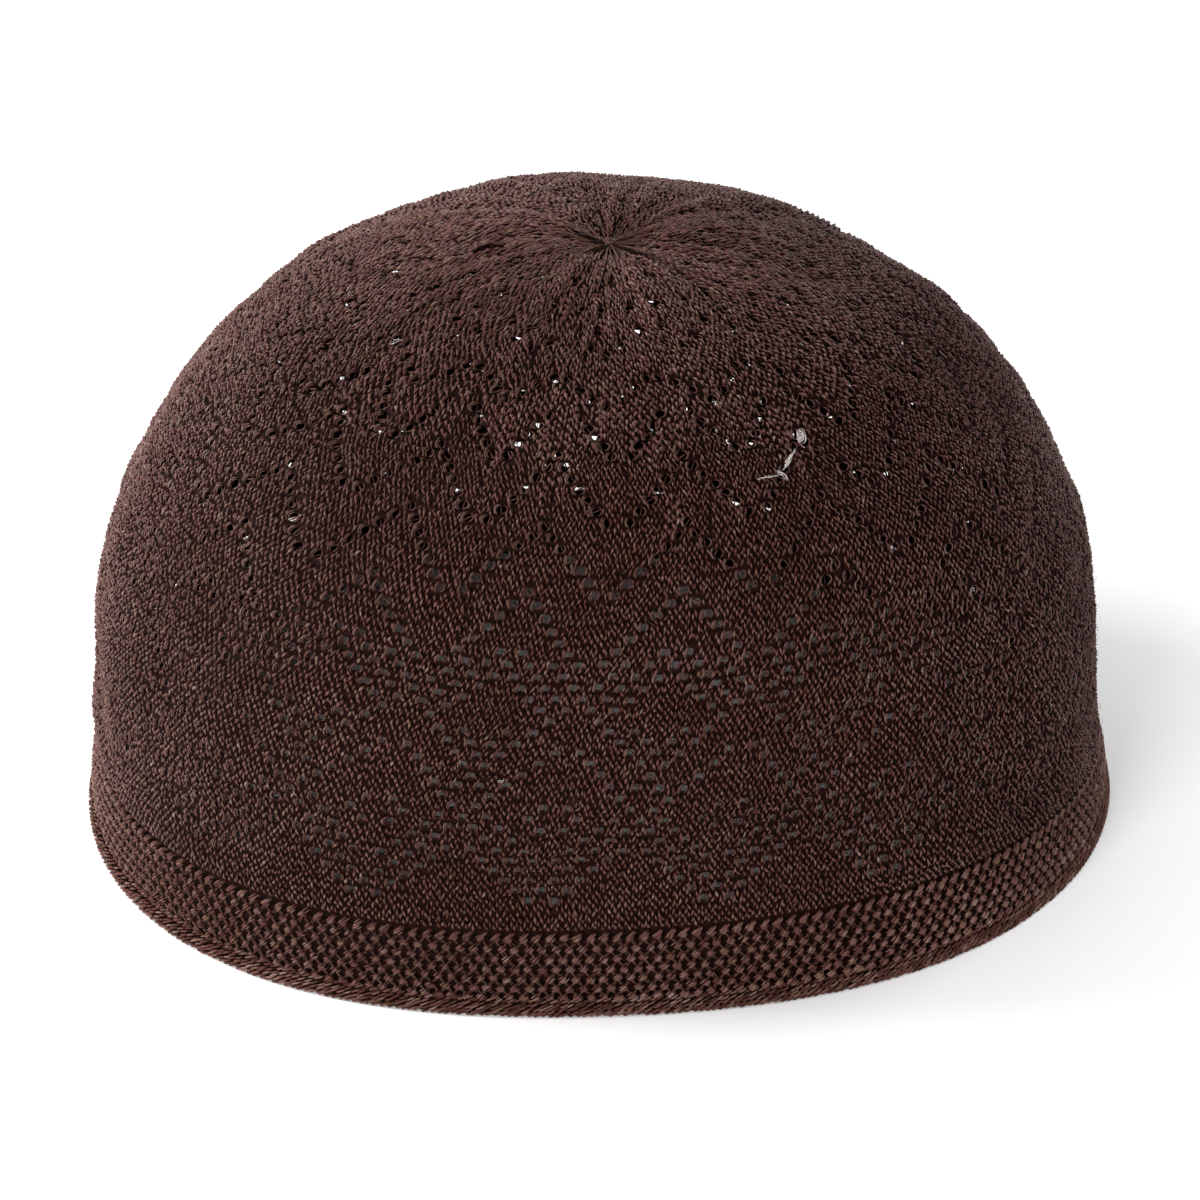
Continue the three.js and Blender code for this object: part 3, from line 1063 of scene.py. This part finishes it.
crown_yarn = textured_yarn("fine_polyester_yarn", CROWN_TONES, sheen=0.28, roughness=0.38, gloss=0.26)
band_yarn_painted_highlight = textured_yarn("coarse_polyester_yarn_painted_highlight", BAND_HIGHLIGHT_TONES, sheen=0.28, roughness=0.38, gloss=0.28)
edge_yarn = textured_yarn("edge_polyester_yarn", CROWN_TONES, sheen=0.3, roughness=0.6, gloss=0.1)
# The purl side wears painted shade wherever it shows: the crown web, the band core and the edge core.
crown_purl_painted_shade = knit_backing("fine_knit_purl_side_painted_shade", *BACK_SHADE_TONES)
band_purl_painted_shade = knit_backing("coarse_knit_purl_side_painted_shade", *BACK_SHADE_TONES)

dress(crown_web(), "openwork_knit", crown_purl_painted_shade, "crown")
for piece in crown_stitches():
    dress(piece, "openwork_knit", crown_yarn)
dress(eyelet_loops(), "openwork_knit", crown_yarn)
dress(eyelet_bars(), "openwork_knit", crown_yarn)
dress(crown_gather(), "openwork_knit", crown_yarn)
dress(band_core(), "band_knit", band_purl_painted_shade, "band")
dress(band_stitches(), "band_knit", band_yarn_painted_highlight)
dress(band_crossings(), "band_knit", band_yarn_painted_highlight)
dress(link_stitches(), "band_knit", band_yarn_painted_highlight)
dress(edge_core(), "edge_knit", band_purl_painted_shade, "rolled_edge")
dress(edge_chain(), "edge_knit", edge_yarn)
dress(fuzz(), "openwork_knit", crown_yarn)
dress(lint(), "openwork_knit", cotton_lint())

# ---------------------------------------- the studio, in metres
FLOOR_HALF = 8.0
WORLD_STRENGTH = 0.74
SOFTBOXES = (
    {"name": "left_softbox", "place": (-0.95, 0.2, 0.45), "aim": 0.04, "size": 0.6, "watts": 16},
    {"name": "right_softbox", "place": (1.0, 0.85, 0.5), "aim": 0.04, "size": 0.6, "watts": 6.5},
    {"name": "front_softbox", "place": (-0.62, -1.3, 0.48), "aim": 0.04, "size": 0.7, "watts": 19},
    {"name": "back_softbox", "place": (0.1, 1.2, 0.5), "aim": 0.06, "size": 0.7, "watts": 1.5},
)
CAMERA_PLACE = (-0.00173, -0.7764, 0.4709)
CAMERA_TILT = 29.322  # degrees down
CAMERA_TURN = 0.131  # degrees to the right
LENS = 145.6
SENSOR = 36.0


def studio():
    """A white floor under an even white sky."""
    near, far = -FLOOR_HALF, FLOOR_HALF
    corners = [(near, near, 0), (far, near, 0), (far, far, 0), (near, far, 0)]
    mesh = bpy.data.meshes.new("floor")
    mesh.from_pydata(corners, [], [(0, 1, 2, 3)])
    floor = bpy.data.objects.new("floor", mesh)
    bpy.context.scene.collection.objects.link(floor)
    floor.data.materials.append(floor_paint())
    world = bpy.data.worlds.new("studio")
    bpy.context.scene.world = world
    world.use_nodes = True
    background = world.node_tree.nodes["Background"]
    background.inputs["Color"].default_value = (1, 1, 1, 1)
    background.inputs["Strength"].default_value = WORLD_STRENGTH


def softbox(name, place, aim, size, watts):
    """A square light at a place, turned to a height over the origin."""
    data = bpy.data.lights.new(name, "AREA")
    data.shape = "SQUARE"
    data.size = size
    data.energy = watts
    lamp = bpy.data.objects.new(name, data)
    bpy.context.scene.collection.objects.link(lamp)
    lamp.location = place
    lamp.rotation_euler = (Vector((0, 0, aim)) - Vector(place)).to_track_quat("-Z", "Y").to_euler()


def camera():
    """A long lens, from in front and above."""
    data = bpy.data.cameras.new("camera")
    data.sensor_width = SENSOR
    data.lens = LENS
    made = bpy.data.objects.new("camera", data)
    bpy.context.scene.collection.objects.link(made)
    made.location = CAMERA_PLACE
    tilt, turn = np.radians(CAMERA_TILT), np.radians(CAMERA_TURN)
    aim = Vector((np.sin(turn) * np.cos(tilt), np.cos(turn) * np.cos(tilt), -np.sin(tilt)))
    made.rotation_euler = aim.to_track_quat("-Z", "Y").to_euler()
    bpy.context.scene.camera = made


studio()
for row in SOFTBOXES:
    softbox(**row)
camera()
bpy.context.scene.view_settings.view_transform = "Standard"
